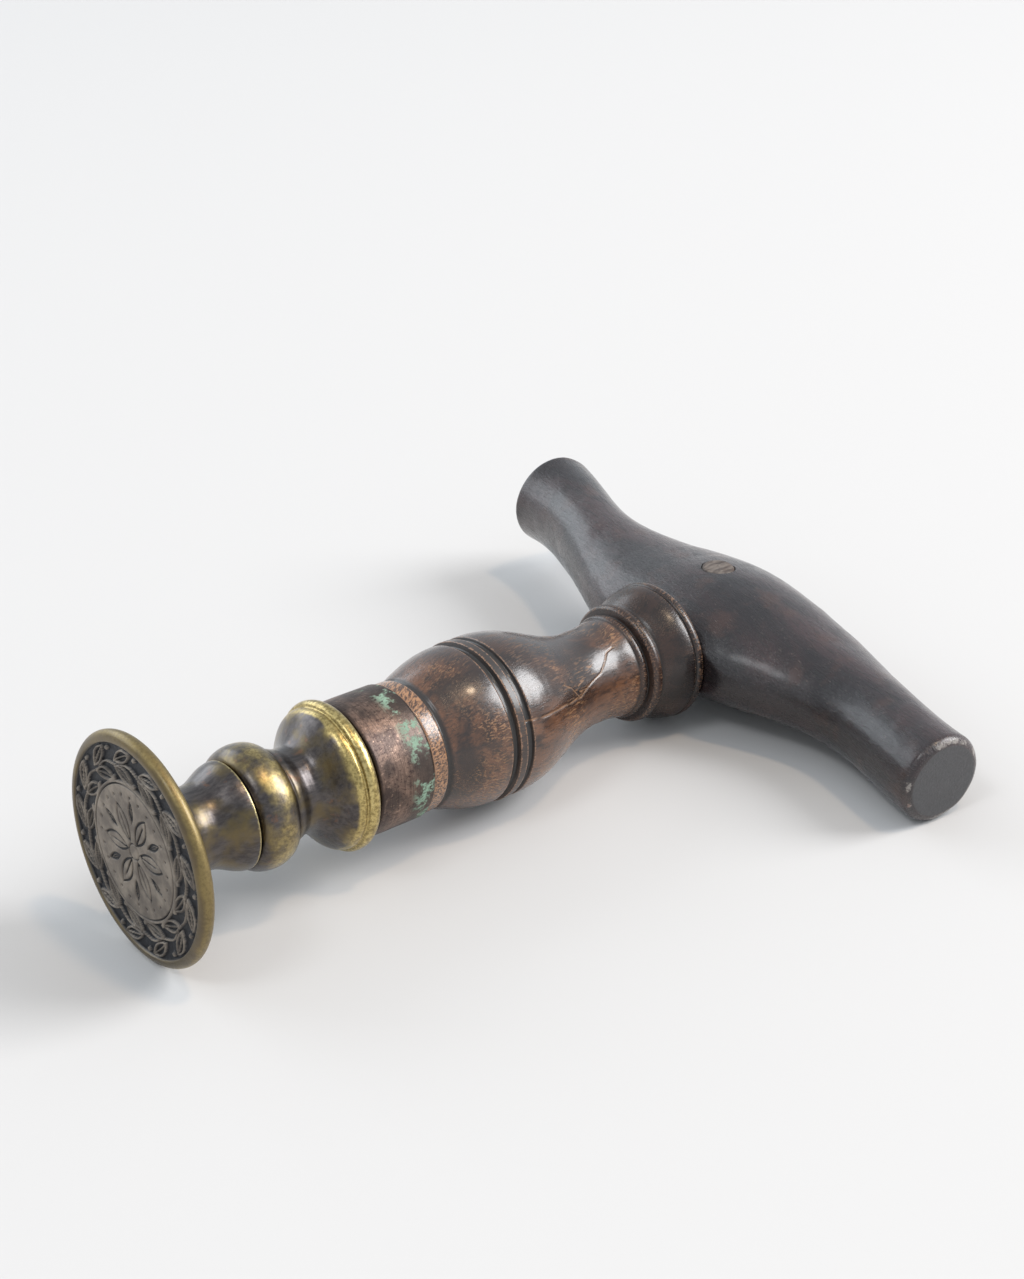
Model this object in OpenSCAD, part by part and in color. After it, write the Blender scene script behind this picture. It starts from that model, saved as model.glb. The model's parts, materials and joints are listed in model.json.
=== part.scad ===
// T-handled hand seal, lying on its side as it is put down on a desk.
// Each turned piece is drawn upright, with heights measured from the seal face along the stem,
// and the whole object is then laid down. Units are millimetres.

/* [Seal head] */
// Radius of the seal disc over its rim
disc_r = 16.6; // [15.8:0.1:18]
// Radius of the engraved field inside the rim
field_r = 15; // [12:0.1:15.2]
// Radius of the polished centre of the field
centre_r = 9.2; // [7:0.1:11]
// Depth of the engraved ring around the centre
engraving_depth = 0.5; // [0.2:0.1:0.8]
// Thickness of the disc at its rim
rim_h = 2.2; // [1.8:0.1:3]
// Radius of the shank just behind the disc
shank_r = 6; // [5:0.1:6.5]
// Radius of the sharp ridge below the bead
ridge_r = 7.8; // [7:0.1:8.2]
// Radius of the bead in the middle of the shank
bead_r = 9; // [8.4:0.1:10]
// Radius of the neck below the cup
neck_r = 6.3; // [5.5:0.1:7]
// Largest radius of the cup that meets the stem
cup_r = 11.1; // [10.6:0.1:12]
// Height of the whole seal head
head_h = 32.4; // [31.5:0.1:34]

/* [Tang and washer] */
// Radius of the threaded tang over its crests
tang_r = 3; // [2.5:0.1:3.5]
// Rise of the thread in one turn
thread_pitch = 1.5; // [1:0.25:2]
// Depth of the thread
thread_depth = 0.6; // [0.3:0.1:0.8]
// Length of tang beyond the washer
tang_reach = 15; // [12:1:18]
// Length of tang held in the seal head
tang_root = 10; // [6:1:14]
// Radial clearance around the tang
tang_gap = 0.05; // [0.02:0.01:0.1]
// Thickness of the leather washer
washer_h = 0.6; // [0.4:0.1:1]
// Radius of the leather washer
washer_r = 9.8; // [9:0.1:10]

/* [Stem] */
// Outer radius of the ferrule
ferrule_r = 10.1; // [9.6:0.1:10.4]
// Wall thickness of the ferrule
ferrule_wall = 0.9; // [0.6:0.1:1.5]
// Height of the ferrule
ferrule_h = 9.4; // [7:0.1:11]
// Radius of the plain band beside the ferrule
band_r = 9.85; // [9.4:0.05:10]
// Largest radius of the barrel
barrel_r = 12.3; // [11.6:0.1:14]
// Radius of the waist between barrel and collar
waist_r = 7.4; // [7:0.1:7.9]
// Radius of the smallest collar ring, beside the waist
collar_small_r = 8.2; // [7.9:0.1:8.8]
// Radius of the middle collar ring
collar_mid_r = 9.4; // [9:0.1:10]
// Radius of the largest collar ring, against the handle
collar_large_r = 10.9; // [10.4:0.1:12]
// Radius of the tenon inside the handle
tenon_r = 5; // [4:0.1:6]

/* [Handle] */
// Distance from the seal face to the middle of the cross handle
handle_at = 108.8; // [106:0.1:112]
// Length of the arm whose end rests on the desk
low_arm = 53; // [44:0.5:60]
// Length of the arm that points up a little
high_arm = 52; // [44:0.5:60]
// Angle by which the cross handle is out of square with the stem
skew = 8.5; // [0:0.5:12]
// Half the depth of the handle's belly, along the stem
belly_depth = 14.5; // [13:0.5:17]
// How far the handle's belly rises above the stem's axis
belly_rise = 9.8; // [8.8:0.1:12]
// How far the handle's belly reaches below the stem's axis
belly_under = 10.3; // [9.5:0.1:12]
// Radius of the arms beside the belly
arm_r = 6.7; // [5.5:0.1:8]
// Radius of the low arm at its end
low_end_r = 7; // [6:0.1:8.4]
// Radius of the high arm at its end
high_end_r = 8.3; // [6:0.1:9]
// Radius of the worn edge around the end of the low arm
low_edge = 1.4; // [0.4:0.1:3]
// Radius of the worn edge around the end of the high arm
high_edge = 0.6; // [0.4:0.1:3]
// Radius of the cross peg
peg_r = 2.6; // [2:0.1:3]
// Distance of the cross peg from the stem's axis, towards the high arm
peg_at = 1.5; // [0:0.1:2]

/* [Hidden] */
$fn = 96;
glue_gap = 0.04;

// Stations along the stem
stem_start = head_h + washer_h;
band_start = stem_start + ferrule_h;
barrel_start = band_start + 3;
barrel_mid = barrel_start + 12.6;
waist_at = barrel_start + 34.6;
collar_start = barrel_start + 38.6;
collar_end = handle_at - belly_depth + 0.2;
tenon_end = handle_at + belly_depth - 5;
tenon_gap = 0.05;

// Grooves burnt into the barrel: where each one starts, and its section
groove_starts = [barrel_start + 9.6, barrel_start + 12.2];
groove_w = 1.3;
groove_depth = 0.55;

// How far the handle's centre line is bent along the stem: [distance from the middle, offset]
bow = [[-low_arm, 0.2], [-30, 2.4], [-4, -0.6], [25, -2.4], [high_arm, 1.6]];

// Resting pose: the rim of the disc, the belly of the handle and the end of its low arm touch the desk.
// The belly's lowest part is on the high arm's side, so rolling the handle lifts it a little.
rim_contact = rim_h / 2;
low_contact = low_arm - low_edge;
belly_drop = belly_under - 0.15;
rest_pitch = asin((disc_r - belly_drop) / (handle_at - rim_contact));
rest_roll = asin((belly_drop - low_end_r) / (low_contact * cos(skew)) + tan(skew) * tan(rest_pitch));
rest_lift = disc_r * cos(rest_pitch) + rim_contact * sin(rest_pitch);
high_end_x = handle_at + (high_arm - high_edge) * sin(skew) + bow[4][1] + high_end_r * cos(skew);
box_middle_x = (high_end_x * cos(rest_pitch) + (high_arm * sin(rest_roll) - disc_r) * sin(rest_pitch)) / 2;
box_middle_y = (high_arm - low_arm) / 2 * cos(skew);

// Outlines are lists of [radius, height]. Each function draws one stretch of turned outline.
function sweep_curve(h0, r0, h1, r1, n = 14) =
    [for (i = [0:n]) [r0 + (r1 - r0) * (1 - cos(180 * i / n)) / 2, h0 + (h1 - h0) * i / n]];
function bead(h0, h1, r0, r1, n = 12) =
    [for (i = [0:n]) [r0 + (r1 - r0) * sin(180 * i / n),
                      (h0 + h1) / 2 - (h1 - h0) / 2 * cos(180 * i / n)]];
function cove(h0, r0, h1, r1, n = 10) =
    [for (i = [0:n]) [r1 + (r0 - r1) * (1 - sin(90 * i / n)), h0 + (h1 - h0) * (1 - cos(90 * i / n))]];
function swell(h0, r0, h1, r1, n = 14) =
    [for (i = [0:n]) [r0 + (r1 - r0) * sin(90 * i / n), h0 + (h1 - h0) * i / n]];

// Lays an upright piece down: height runs along +X, and the object rests on z = 0,
// with the middle of its bounding box over the origin
module laid_down() {
    translate([-box_middle_x, -box_middle_y, rest_lift])
        rotate([0, 90 + rest_pitch, 0])
            rotate([0, 0, rest_roll])
                children();
}

module turned(outline) {
    rotate_extrude() polygon(outline);
}

module seal_head() {
    ridge_h = 14.8;
    bead_end = 21.4;
    outline = concat(
        [[0, 0], [centre_r, 0], [centre_r, engraving_depth], [field_r, engraving_depth], [field_r, 0]],
        bead(0, rim_h, field_r + 0.3, disc_r),
        [[field_r - 1, rim_h + 0.7]],
        cove(3.1, 12.5, 8.8, shank_r),
        sweep_curve(9.4, shank_r, ridge_h, ridge_r),
        [[ridge_r - 0.5, ridge_h + 0.25]],
        bead(ridge_h + 0.3, bead_end, ridge_r - 0.6, bead_r),
        [[ridge_r - 0.9, bead_end + 0.3]],
        sweep_curve(bead_end + 0.5, ridge_r - 0.8, 24.4, neck_r),
        sweep_curve(25.2, neck_r, 30.2, cup_r - 0.7),
        [[cup_r - 0.8, 30.45]],
        bead(30.6, head_h, cup_r - 0.6, cup_r),
        [[tang_r + tang_gap, head_h], [tang_r + tang_gap, head_h - tang_root], [0, head_h - tang_root]]);
    color([0.55, 0.46, 0.27]) laid_down() turned(outline);
}

// The thread is drawn as even rings, so that each of its faces stays a true cone
module seal_tang() {
    start = head_h - tang_root;
    end = stem_start + tang_reach;
    thread_start = stem_start + 1;
    turns = floor((end - thread_start - 0.6) / thread_pitch);
    crests = [for (i = [0:turns - 1]) let (h = thread_start + i * thread_pitch)
        each [[tang_r, h], [tang_r - thread_depth, h + thread_pitch * 0.45],
              [tang_r, h + thread_pitch * 0.9]]];
    outline = concat([[0, start], [tang_r, start]], crests,
                     [[tang_r - thread_depth, end], [0, end]]);
    color([0.42, 0.42, 0.44]) laid_down() turned(outline);
}

module washer() {
    color([0.12, 0.09, 0.07]) laid_down() difference() {
        translate([0, 0, head_h]) cylinder(r = washer_r, h = washer_h);
        translate([0, 0, head_h - 1]) cylinder(r = tang_r + 0.3, h = washer_h + 2);
    }
}

module ferrule() {
    color([0.48, 0.33, 0.27]) laid_down() difference() {
        translate([0, 0, stem_start]) turned(concat(
            [[0, 0], [ferrule_r - 0.25, 0], [ferrule_r, 0.25]],
            [[ferrule_r, ferrule_h - 0.2], [ferrule_r - 0.2, ferrule_h], [0, ferrule_h]]));
        translate([0, 0, stem_start - 1]) cylinder(r = ferrule_r - ferrule_wall, h = ferrule_h + 2);
    }
}

module stem() {
    spigot_r = ferrule_r - ferrule_wall - glue_gap;
    c1 = collar_start;
    outline = concat(
        [[0, stem_start], [spigot_r, stem_start], [spigot_r, band_start + glue_gap],
         [band_r, band_start + glue_gap], [band_r, barrel_start - 0.4],
         [band_r - 0.45, barrel_start], [band_r - 0.1, barrel_start + 0.4]],
        swell(barrel_start + 0.6, band_r, barrel_mid, barrel_r),
        sweep_curve(barrel_mid + 2, barrel_r, waist_at - 2, waist_r, 22),
        sweep_curve(waist_at, waist_r, c1, collar_small_r - 0.4, 6),
        bead(c1, c1 + 1.3, collar_small_r - 0.4, collar_small_r),
        bead(c1 + 1.6, c1 + 3.4, collar_mid_r - 0.7, collar_mid_r),
        [[collar_mid_r - 0.9, c1 + 3.8]],
        swell(c1 + 4.2, collar_mid_r - 0.5, collar_end - 1.7, collar_large_r - 0.2),
        [[collar_large_r - 0.5, collar_end - 1.5]],
        bead(collar_end - 1.4, collar_end - 0.1, collar_large_r - 0.4, collar_large_r),
        [[collar_large_r - 0.5, collar_end],
         [tenon_r, collar_end], [tenon_r, tenon_end - 0.6], [tenon_r - 0.6, tenon_end], [0, tenon_end]]);
    color([0.36, 0.22, 0.14]) laid_down() difference() {
        turned(outline);
        for (h = groove_starts)
            translate([0, 0, h]) turned([[barrel_r + 1, 0], [barrel_r + 1, groove_w],
                [barrel_r - groove_depth - 0.1, groove_w - 0.35], [barrel_r - groove_depth - 0.1, 0.35]]);
        translate([0, 0, stem_start - 1]) cylinder(r = tang_r + tang_gap, h = tang_reach + 2.5);
        cross_pin(peg_r + glue_gap, 4 * tenon_r);
    }
}

// The place of the peg across the upright stem, and of the holes that it fills
module cross_pin(r, length) {
    translate([0, peg_at, handle_at]) rotate([0, 90, 0]) cylinder(r = r, h = length, center = true);
}

// A value that eases from point to point of a list of [distance, value]
function eased(points, y, i = 0) =
    y > points[i + 1][0] && i < len(points) - 2 ? eased(points, y, i + 1) :
    points[i][1] + (points[i + 1][1] - points[i][1])
        * (1 - cos(180 * (y - points[i][0]) / (points[i + 1][0] - points[i][0]))) / 2;

// Half depth of the handle at a distance y from its middle, and its rise above and below. The belly of a
// hand-shaped bar isn't even: the top is fullest on the low arm's side and the underside on the other.
function arm_at(y) = arm_r + ((y > 0 ? high_end_r : low_end_r) - arm_r) * pow(abs(y) / low_arm, 5);
function depth_at(y) = arm_at(y) + (belly_depth - arm_r) * exp(-pow(abs(y + 1) / 24.5, 3));
function rise_at(y) = arm_at(y) + (belly_rise - arm_r) * exp(-pow((y + 2.5) / 15.5, 2));
function drop_at(y) = arm_at(y) + (belly_under - arm_r) * exp(-pow((y - 4) / 15.5, 2));

// Stations along the handle as [distance, shrink], with the worn edge at each end as a quarter round
edge_steps = 4;
function worn_edge(r) = [for (i = [0:edge_steps]) let (a = 90 * i / edge_steps)
    [r * (1 - cos(a)), r * (1 - sin(a))]];
middle_steps = 42;
middle_step = (low_arm + high_arm - low_edge - high_edge) / middle_steps;
handle_stations = concat(
    [for (e = worn_edge(low_edge)) [-low_arm + e[0], e[1]]],
    [for (i = [1:middle_steps - 1]) [-low_arm + low_edge + middle_step * i, 0]],
    [for (i = [edge_steps:-1:0]) let (e = worn_edge(high_edge)[i]) [high_arm - e[0], e[1]]]);
around = 40;

module handle_blank() {
    rings = len(handle_stations);
    points = [for (s = handle_stations, k = [0:around - 1])
        let (a = 360 * k / around, half = sin(a) > 0 ? rise_at(s[0]) : drop_at(s[0]))
        [eased(bow, s[0]) + (depth_at(s[0]) - s[1]) * cos(a), s[0], (half - s[1]) * sin(a)]];
    sides = [for (j = [0:rings - 2], k = [0:around - 1]) let (k2 = (k + 1) % around)
        [j * around + k, j * around + k2, (j + 1) * around + k2, (j + 1) * around + k]];
    ends = [[for (k = [around - 1:-1:0]) k], [for (k = [0:around - 1]) (rings - 1) * around + k]];
    polyhedron(points, concat(sides, ends));
}

// Puts a piece drawn about the handle's middle, with its arms along Y, on top of the upright stem
module on_stem() {
    translate([0, 0, handle_at]) rotate([0, -90, 0]) rotate([0, 0, -skew]) children();
}

module handle() {
    color([0.16, 0.12, 0.11]) laid_down() difference() {
        on_stem() handle_blank();
        translate([0, 0, collar_end - 20]) cylinder(r = collar_large_r + 0.6, h = 20);
        translate([0, 0, collar_end - 1]) cylinder(r = tenon_r + tenon_gap, h = tenon_end - collar_end + 1.3);
        cross_pin(peg_r + glue_gap, 3 * belly_rise);
    }
}

module handle_peg() {
    color([0.22, 0.19, 0.17]) laid_down() cross_pin(peg_r, 2 * (belly_rise - 0.3));
}

seal_head();
seal_tang();
washer();
ferrule();
stem();
handle();
handle_peg();
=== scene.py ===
"""Looks of a T-handled hand seal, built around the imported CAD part.

Turned pieces are given as outlines of (height, radius) points in millimetres, heights measured from the
seal face along the stem, as in the part's own source. They are drawn in the stem's frame: X along the
stem towards the cross handle, Y across it towards the arm that is held high, Z up. The handle and its peg
have frames of their own, worked out from the stem's."""

import json
import math

import bmesh
import bpy
import numpy as np
from mathutils import Matrix, Vector


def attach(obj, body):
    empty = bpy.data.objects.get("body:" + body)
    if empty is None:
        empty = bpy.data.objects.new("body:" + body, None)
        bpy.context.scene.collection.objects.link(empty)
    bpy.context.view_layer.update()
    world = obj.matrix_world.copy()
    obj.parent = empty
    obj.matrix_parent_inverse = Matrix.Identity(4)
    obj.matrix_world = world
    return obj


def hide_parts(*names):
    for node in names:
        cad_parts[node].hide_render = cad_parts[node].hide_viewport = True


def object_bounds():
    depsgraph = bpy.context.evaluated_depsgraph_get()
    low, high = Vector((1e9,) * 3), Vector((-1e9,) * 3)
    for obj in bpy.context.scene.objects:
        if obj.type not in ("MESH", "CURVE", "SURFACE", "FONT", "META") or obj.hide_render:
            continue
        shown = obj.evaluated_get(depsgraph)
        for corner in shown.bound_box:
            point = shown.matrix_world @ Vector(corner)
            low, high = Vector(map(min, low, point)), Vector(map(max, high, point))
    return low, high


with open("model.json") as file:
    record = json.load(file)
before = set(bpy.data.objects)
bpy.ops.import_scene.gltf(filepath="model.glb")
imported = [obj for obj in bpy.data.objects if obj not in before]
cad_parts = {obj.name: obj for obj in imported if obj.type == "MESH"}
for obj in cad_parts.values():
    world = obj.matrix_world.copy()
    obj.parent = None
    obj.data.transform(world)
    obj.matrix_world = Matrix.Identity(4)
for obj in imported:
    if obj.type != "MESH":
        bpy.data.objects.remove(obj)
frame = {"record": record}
cad_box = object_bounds()

MM = 0.001

# Driving sizes, in millimetres, as in the CAD
DISC_R, RIM_H, FIELD_R, CENTRE_R = 16.6, 2.2, 15.0, 9.2
SHANK_R, RIDGE_R, BEAD_R, NECK_R, CUP_R = 6.0, 7.8, 9.0, 6.3, 11.1
HEAD_H, WASHER_H, WASHER_R = 32.4, 0.6, 9.8
TANG_R, TANG_GAP, TANG_REACH, TANG_ROOT, PITCH = 3.0, 0.05, 15.0, 10.0, 1.5
FERRULE_R, FERRULE_WALL, FERRULE_H = 10.1, 0.9, 9.4
BAND_R, BARREL_R, WAIST_R = 9.85, 12.3, 7.4
COLLAR_SMALL_R, COLLAR_MID_R, COLLAR_LARGE_R = 8.2, 9.4, 10.9
HANDLE_AT, BELLY_DEPTH, BELLY_RISE, BELLY_UNDER = 108.8, 14.5, 9.8, 10.3
LOW_ARM, LOW_END_R, LOW_EDGE = 53.0, 7.0, 1.4
HIGH_ARM, HIGH_END_R, HIGH_EDGE = 52.0, 8.3, 0.6
ARM_R, SKEW = 6.7, math.radians(8.5)
TENON_R, PEG_R, PEG_AT = 5.0, 2.6, 1.5

STEM_START = HEAD_H + WASHER_H
BAND_START = STEM_START + FERRULE_H
BARREL_START = BAND_START + 3
GROOVES = (BARREL_START + 9.6, BARREL_START + 12.2)
GROOVE_W = 1.3
WAIST_AT = BARREL_START + 34.6
COLLAR_START = BARREL_START + 38.6
COLLAR_END = HANDLE_AT - BELLY_DEPTH + 0.2
TENON_END = HANDLE_AT + BELLY_DEPTH - 5

# The seal lies on the rim of its disc, the belly of the handle and the end of the low arm
BELLY_DROP = BELLY_UNDER - 0.15
REST_PITCH = math.asin((DISC_R - BELLY_DROP) / (HANDLE_AT - RIM_H / 2))
REST_ROLL = math.asin((BELLY_DROP - LOW_END_R) / ((LOW_ARM - LOW_EDGE) * math.cos(SKEW))
                      + math.tan(SKEW) * math.tan(REST_PITCH))

# The stem's frame, from the seal face mount, and those of the handle and the peg
face = next(m for m in frame["record"]["mounts"] if m["name"] == "seal_face")
ALONG = -Vector(face["axis"]).normalized()
ACROSS = Vector((0, 1, 0))
AXES = Matrix((ALONG, ACROSS, ALONG.cross(ACROSS))).transposed().to_4x4()
STEM = Matrix.Translation(face["pos_m"]) @ AXES
ROLLED = STEM @ Matrix.Rotation(REST_ROLL, 4, "X")
MIDDLE = ROLLED @ Matrix.Translation((HANDLE_AT * MM, 0, 0))
HANDLE = MIDDLE @ Matrix.Rotation(-SKEW, 4, "Z")
PEG = MIDDLE @ Matrix.Translation((0, PEG_AT * MM, 0))


# ---------------------------------------------------------------- outlines

def sway(h0, r0, h1, r1, n=24):
    """An S-shaped stretch, level at both ends."""
    t = np.linspace(0, 1, n + 1)
    return list(zip(h0 + (h1 - h0) * t, r0 + (r1 - r0) * (1 - np.cos(math.pi * t)) / 2))


def bead(h0, h1, r0, r1, n=24):
    """A half-round bead from radius r0 out to r1 and back."""
    t = np.linspace(0, math.pi, n + 1)
    return list(zip((h0 + h1) / 2 - (h1 - h0) / 2 * np.cos(t), r0 + (r1 - r0) * np.sin(t)))


def cove(h0, r0, h1, r1, n=20):
    """A hollow quarter round that falls from r0 to r1."""
    t = np.linspace(0, math.pi / 2, n + 1)
    return list(zip(h0 + (h1 - h0) * (1 - np.cos(t)), r1 + (r0 - r1) * (1 - np.sin(t))))


def swell(h0, r0, h1, r1, n=24):
    """A quarter wave that rises from r0 and is level at r1."""
    t = np.linspace(0, 1, n + 1)
    return list(zip(h0 + (h1 - h0) * t, r0 + (r1 - r0) * np.sin(math.pi / 2 * t)))


def even_steps(outline, step):
    """The outline with a point at least every step, its corners kept."""
    points = [outline[0]]
    for a, b in zip(outline, outline[1:]):
        length = math.dist(a, b)
        if length < 1e-6:
            continue
        n = max(1, math.ceil(length / step))
        points += [(a[0] + (b[0] - a[0]) * i / n, a[1] + (b[1] - a[1]) * i / n) for i in range(1, n + 1)]
    return np.array(points)


def soften(points, width):
    """The points averaged along the outline over about width, ends kept."""
    length = np.concatenate([[0], np.cumsum(np.linalg.norm(np.diff(points, axis=0), axis=1))])
    even = np.linspace(0, length[-1], max(8, int(length[-1] / 0.05)))
    dense = np.stack([np.interp(even, length, points[:, i]) for i in (0, 1)], 1)
    half = max(1, int(width / (even[1] - even[0])))
    kernel = np.hanning(2 * half + 1)
    kernel /= kernel.sum()
    padded = np.concatenate([2 * dense[0] - dense[half:0:-1], dense, 2 * dense[-1] - dense[-2:-half - 2:-1]])
    smooth = np.stack([np.convolve(padded[:, i], kernel, "valid") for i in (0, 1)], 1)
    return np.stack([np.interp(length, even, smooth[:, i]) for i in (0, 1)], 1)


def outward_relief(points, width=1.2):
    """How far each outline point stands proud of its softened surroundings, in millimetres."""
    offset = points - soften(points, width)
    tangent = np.gradient(points, axis=0)
    tangent /= np.linalg.norm(tangent, axis=1, keepdims=True) + 1e-9
    return offset[:, 1] * tangent[:, 0] - offset[:, 0] * tangent[:, 1]


def ramp(x, low, high):
    """0 below low, 1 above high, smooth between. High may be the smaller."""
    t = np.clip((x - low) / (high - low), 0, 1)
    return t * t * (3 - 2 * t)


def span(x, start, full, fade, end):
    """1 from full to fade, 0 before start and after end, smooth between."""
    return ramp(x, start, full) * ramp(x, end, fade)


def line(distance, half_width):
    """1 on a line that is half_width to each side, 0 away from it."""
    return ramp(half_width - np.abs(distance), 0, 0.12)


# ---------------------------------------------------------------- meshes

def new_piece(name, verts, faces, attributes, material, body, node, matrix=STEM):
    """A piece from vertices in millimetres, riding on its body in place of its CAD node."""
    place = np.array(matrix)
    in_row = np.asarray(verts) * MM @ place[:3, :3].T + place[:3, 3]
    mesh = bpy.data.meshes.new(name)
    mesh.from_pydata(in_row.tolist(), [], faces)
    local = mesh.attributes.new("local", "FLOAT_VECTOR", "POINT")
    local.data.foreach_set("vector", np.asarray(verts, np.float32).ravel())
    for key, values in attributes.items():
        layer = mesh.attributes.new(key, "FLOAT", "POINT")
        layer.data.foreach_set("value", np.asarray(values, np.float32))
    work = bmesh.new()
    work.from_mesh(mesh)
    bmesh.ops.remove_doubles(work, verts=work.verts, dist=1e-7)
    bmesh.ops.recalc_face_normals(work, faces=work.faces)
    work.to_mesh(mesh)
    work.free()
    mesh.polygons.foreach_set("use_smooth", [True] * len(mesh.polygons))
    mesh.materials.append(material)
    piece = bpy.data.objects.new(name, mesh)
    bpy.context.scene.collection.objects.link(piece)
    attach(piece, body)
    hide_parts(node)
    return piece


def lathe(points, around):
    """Vertices, faces, and each vertex's outline index and angle, for an outline turned about X."""
    angle = np.linspace(0, 2 * math.pi, around, endpoint=False)
    verts, index, turn, start = [], [], [], []
    for i, (h, r) in enumerate(points):
        start.append(sum(len(v) for v in verts))
        a = angle if r > 1e-4 else angle[:1]
        verts.append(np.stack([np.full(len(a), h), r * np.cos(a), r * np.sin(a)], 1))
        index += [i] * len(a)
        turn.append(a)
    faces = []
    k = np.arange(around)
    k2 = (k + 1) % around
    for i in range(len(points) - 1):
        one, two = len(verts[i]) == 1, len(verts[i + 1]) == 1
        a, a2 = (start[i] + (0 * k if one else j) for j in (k, k2))
        b, b2 = (start[i + 1] + (0 * k if two else j) for j in (k, k2))
        if one and two:
            continue
        corners = [a, b2, b] if one else [a, a2, b] if two else [a, a2, b2, b]
        faces += np.stack(corners, 1).tolist()
    return np.concatenate(verts), faces, np.array(index), np.concatenate(turn)


def tube_faces(rings, around):
    """The four-sided faces between rings of vertices that are listed ring by ring."""
    k = np.arange(around)
    k2 = (k + 1) % around
    faces = []
    for a in range(0, (rings - 1) * around, around):
        b = a + around
        faces += np.stack([a + k, a + k2, b + k2, b + k], 1).tolist()
    return faces


def ripple(along, angle, longest=12.0, count=8, seed=0):
    """A smooth random field of about -1 to 1 that closes on itself round a piece."""
    rng = np.random.default_rng(seed)
    total = np.zeros(np.broadcast(along, angle).shape)
    for i in range(count):
        turns, way, phase = rng.integers(1, 7), rng.choice((-1, 1)), rng.uniform(0, 2 * math.pi)
        total += 0.7 ** i * np.sin(turns * angle + way * 2 * math.pi * along * 1.5 ** i / longest + phase)
    return total / 2


def bore(piece, radius, length, matrix):
    """Cuts a round hole through a piece. The hole's axis is the matrix's Z, from its origin both ways."""
    drill = bpy.data.meshes.new("drill")
    work = bmesh.new()
    bmesh.ops.create_cone(work, cap_ends=True, segments=64, radius1=radius * MM, radius2=radius * MM,
                          depth=length * MM)
    work.to_mesh(drill)
    work.free()
    tool = bpy.data.objects.new("drill", drill)
    bpy.context.scene.collection.objects.link(tool)
    tool.matrix_world = matrix
    cut = piece.modifiers.new("bore", "BOOLEAN")
    cut.operation = "DIFFERENCE"
    cut.object = tool
    cut.solver = "EXACT"
    bpy.context.view_layer.update()
    baked = bpy.data.meshes.new_from_object(piece.evaluated_get(bpy.context.evaluated_depsgraph_get()))
    piece.modifiers.clear()
    old = piece.data
    piece.data = baked
    baked.name = old.name
    bpy.data.meshes.remove(old)
    bpy.data.objects.remove(tool)
    bpy.data.meshes.remove(drill)


# ---------------------------------------------------------------- material nodes

def rgb(r, g, b):
    """A linear colour from one given as 0-255 on the screen's scale."""
    linear = [c / 255 / 12.92 if c <= 10 else ((c / 255 + 0.055) / 1.055) ** 2.4 for c in (r, g, b)]
    return (*linear, 1.0)


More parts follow.
